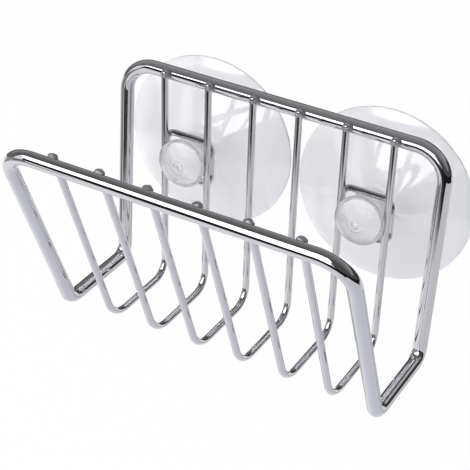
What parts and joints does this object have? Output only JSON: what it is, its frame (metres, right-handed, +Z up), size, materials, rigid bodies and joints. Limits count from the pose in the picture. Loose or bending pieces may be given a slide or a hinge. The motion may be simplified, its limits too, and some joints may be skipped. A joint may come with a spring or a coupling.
{
  "type": "sponge holder",
  "caption": "Open wire basket for a kitchen sponge, with a sloping front and rounded rails, hung on a smooth wall by clear suction cups that turn in wire rings.",
  "frame": {"origin": "on the wall plane, midway between the two suction cups, at the height of their axes", "axes": "+X along the rails, +Y into the wall, +Z up"},
  "size_m": [0.1336, 0.0915, 0.0865],
  "materials": {
    "chromed_wire": "polished",
    "clear_soft_pvc": "smooth, clear and slightly milky"
  },
  "bodies": {
    "basket": {"perimeter_frame": "chromed_wire", "rib_wire_1": "chromed_wire", "rib_wire_2": "chromed_wire", "rib_wire_3": "chromed_wire", "rib_wire_4": "chromed_wire", "rib_wire_5": "chromed_wire", "rib_wire_6": "chromed_wire", "left_cup_bracket": "chromed_wire", "right_cup_bracket": "chromed_wire"},
    "left_cup": {"left_suction_cup": "clear_soft_pvc"},
    "right_cup": {"right_suction_cup": "clear_soft_pvc"}
  },
  "joints": [
    {"name": "left_cup_swivel", "type": "hinge", "parent": "basket", "child": "left_cup", "pos_m": [-0.03429, -0.016, 0], "axis": [0, 1, 0], "continuous": true},
    {"name": "right_cup_swivel", "type": "hinge", "parent": "basket", "child": "right_cup", "pos_m": [0.03429, -0.016, 0], "axis": [0, 1, 0], "continuous": true}
  ]
}
